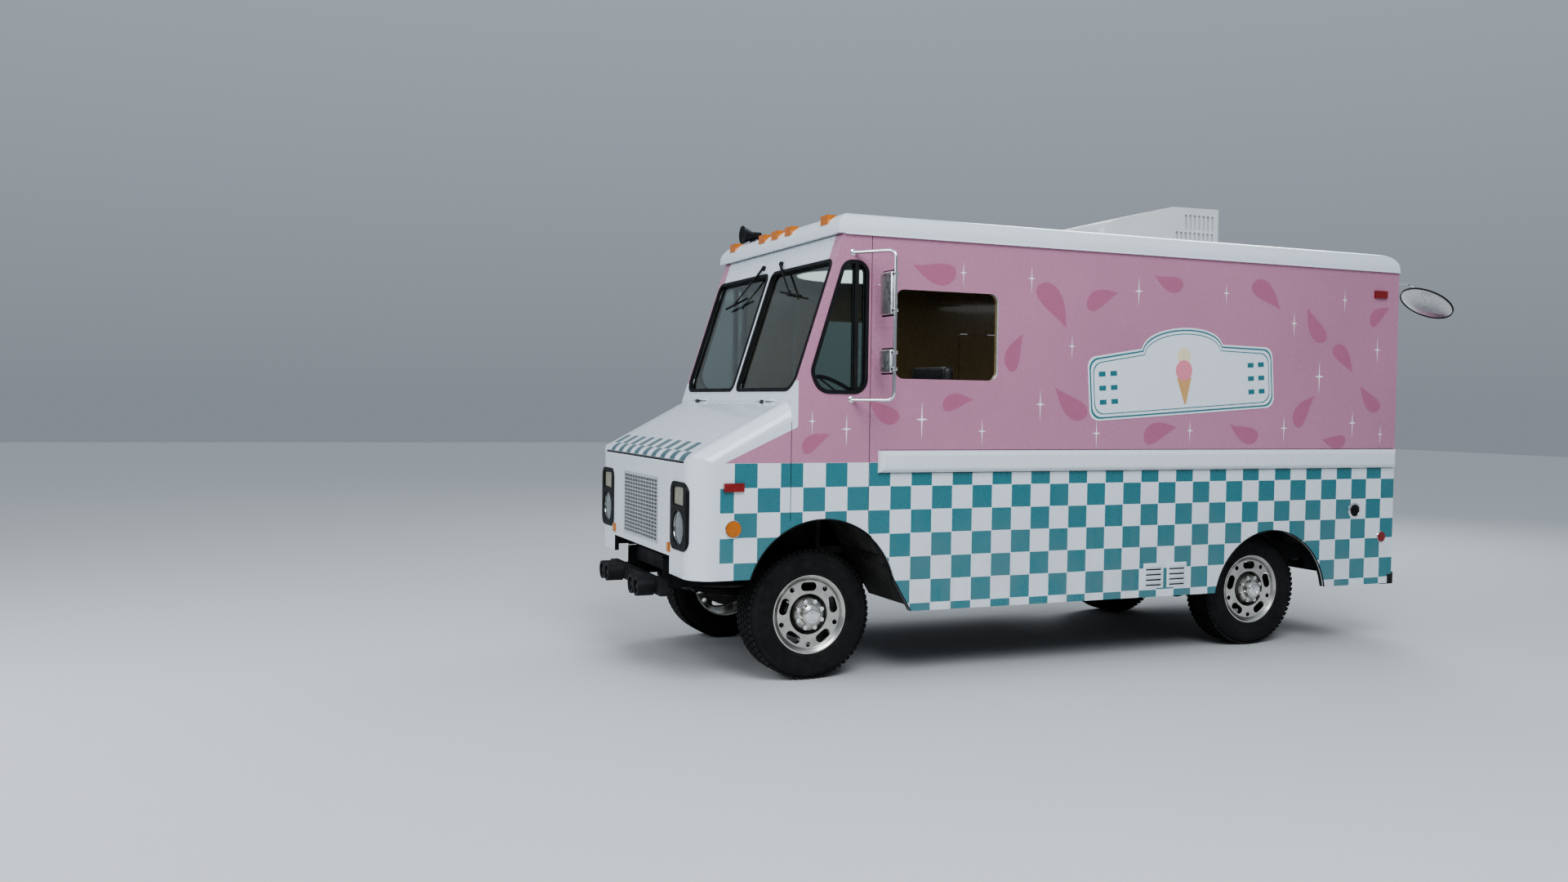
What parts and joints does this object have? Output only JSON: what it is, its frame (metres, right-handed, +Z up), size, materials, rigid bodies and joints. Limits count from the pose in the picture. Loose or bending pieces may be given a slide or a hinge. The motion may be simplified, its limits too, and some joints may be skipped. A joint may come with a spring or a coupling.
{
  "type": "ice cream truck",
  "caption": "A pink and white ice cream step van with checked lower sides, a roof air conditioner, serving hatch and rear doors.",
  "frame": {"origin": "On the ground, in the middle of the whole length and width", "axes": "+Y runs to the rear, so the nose looks along -Y; +X is the driver's left side; +Z is up"},
  "size_m": [2.482, 5.9772, 3.0979],
  "materials": {
    "white_paint": "gloss",
    "side_paint": "gloss",
    "frame_black": "satin",
    "engine_iron": "rough",
    "tank_steel": "satin",
    "exhaust_steel": "worn",
    "floor_plate": "worn",
    "glass_clear": "clear",
    "black_rubber": "matte",
    "shelf_steel": "brushed",
    "grille_white": "gloss",
    "black_plastic": "matte",
    "lamp_clear": "clear",
    "lamp_amber": "gloss",
    "lamp_red": "gloss",
    "mirror_steel": "polished",
    "cooler_white": "satin",
    "trim_grey": "satin",
    "seat_vinyl": "satin",
    "bar_black": "satin",
    "wheel_alloy": "polished",
    "tyre_rubber": "matte"
  },
  "bodies": {
    "truck": {"chassis_frame": "frame_black", "engine": "engine_iron", "fuel_tank": "tank_steel", "exhaust": "exhaust_steel", "front_axle": "frame_black", "leaf_springs": "frame_black", "rear_axle": "frame_black", "propshaft": "frame_black", "floor": "floor_plate", "left_wall": "side_paint", "right_wall": "side_paint", "roof": "white_paint", "nose": "white_paint", "cab": "white_paint", "cab_glass": "glass_clear", "window_seals": "black_rubber", "rear_frame": "side_paint", "rub_rails": "white_paint", "grille": "grille_white", "lamp_bezels": "black_plastic", "headlamps": "lamp_clear", "amber_lamps": "lamp_amber", "red_lamps": "lamp_red", "mirrors": "mirror_steel", "wipers": "black_plastic", "roof_cooler": "cooler_white", "chime_speaker": "black_plastic", "engine_cover": "trim_grey", "dash": "trim_grey", "seat_base": "frame_black", "seat_cushions": "seat_vinyl", "freezer": "shelf_steel", "front_bar": "bar_black", "rear_step": "bar_black"},
    "knuckle_left": {"knuckle_left": "frame_black"},
    "knuckle_right": {"knuckle_right": "frame_black"},
    "tie_rod": {"tie_rod": "frame_black"},
    "hood": {"hood": "white_paint"},
    "rear_door_left": {"rear_door_left": "side_paint", "rear_glass_left": "glass_clear"},
    "rear_door_right": {"rear_door_right": "side_paint", "rear_glass_right": "glass_clear"},
    "side_door": {"side_door": "side_paint", "side_door_glass": "glass_clear"},
    "serving_flap": {"serving_flap": "side_paint"},
    "serving_shelf": {"serving_shelf": "shelf_steel"},
    "steering_wheel": {"steering_wheel": "black_plastic"},
    "wheel_front_left": {"wheel_front_left": "wheel_alloy", "tyre_front_left": "tyre_rubber"},
    "wheel_front_right": {"wheel_front_right": "wheel_alloy", "tyre_front_right": "tyre_rubber"},
    "wheel_rear_left": {"wheel_rear_left": "wheel_alloy", "tyre_rear_left": "tyre_rubber"},
    "wheel_rear_right": {"wheel_rear_right": "wheel_alloy", "tyre_rear_right": "tyre_rubber"}
  },
  "joints": [
    {"name": "steer_left", "type": "hinge", "parent": "truck", "child": "knuckle_left", "pos_m": [0.56, -2.03765, 0.39], "axis": [0, 0, 1], "range_deg": [-32, 32]},
    {"name": "spin_front_left", "type": "hinge", "parent": "knuckle_left", "child": "wheel_front_left", "pos_m": [0.7155, -2.03765, 0.39], "axis": [1, 0, 0], "continuous": true},
    {"name": "spin_rear_left", "type": "hinge", "parent": "truck", "child": "wheel_rear_left", "pos_m": [0.7155, 1.34035, 0.39], "axis": [1, 0, 0], "continuous": true},
    {"name": "open_rear_door_left", "type": "hinge", "parent": "truck", "child": "rear_door_left", "pos_m": [0.7, 2.48735, 1.52], "axis": [0, 0, -1], "range_deg": [0, 110]},
    {"name": "steer_right", "type": "hinge", "parent": "truck", "child": "knuckle_right", "pos_m": [-0.56, -2.03765, 0.39], "axis": [0, 0, 1], "range_deg": [-32, 32]},
    {"name": "spin_front_right", "type": "hinge", "parent": "knuckle_right", "child": "wheel_front_right", "pos_m": [-0.7155, -2.03765, 0.39], "axis": [1, 0, 0], "continuous": true},
    {"name": "spin_rear_right", "type": "hinge", "parent": "truck", "child": "wheel_rear_right", "pos_m": [-0.7155, 1.34035, 0.39], "axis": [1, 0, 0], "continuous": true},
    {"name": "open_rear_door_right", "type": "hinge", "parent": "truck", "child": "rear_door_right", "pos_m": [-0.7, 2.48735, 1.52], "axis": [0, 0, 1], "range_deg": [0, 110]},
    {"name": "tie_rod_link", "type": "hinge", "parent": "knuckle_left", "child": "tie_rod", "pos_m": [0.56, -1.88765, 0.345], "axis": [0, 0, 1], "range_deg": [-32, 32]},
    {"name": "turn_steering_wheel", "type": "hinge", "parent": "truck", "child": "steering_wheel", "pos_m": [0.5, -1.67865, 1.69], "axis": [0, 0.5736, 0.8192], "range_deg": [-512, 512]},
    {"name": "open_hood", "type": "hinge", "parent": "truck", "child": "hood", "pos_m": [0, -2.26265, 1.665], "axis": [-1, 0, 0], "range_deg": [0, 50]},
    {"name": "open_serving_flap", "type": "hinge", "parent": "truck", "child": "serving_flap", "pos_m": [-1.012, 0.61035, 2.21], "axis": [0, 1, 0], "range_deg": [0, 95]},
    {"name": "fold_serving_shelf", "type": "hinge", "parent": "truck", "child": "serving_shelf", "pos_m": [-1.052, 0.61035, 1.402], "axis": [0, 1, 0], "range_deg": [0, 90]},
    {"name": "slide_side_door", "type": "slide", "parent": "truck", "child": "side_door", "axis": [0, 1, 0], "range_m": [0, 0.66]}
  ],
  "couplings": [
    {"joint": "steer_right", "follows": "steer_left", "ratio": 1},
    {"joint": "tie_rod_link", "follows": "steer_left", "ratio": -1},
    {"joint": "turn_steering_wheel", "follows": "steer_left", "ratio": 16}
  ]
}
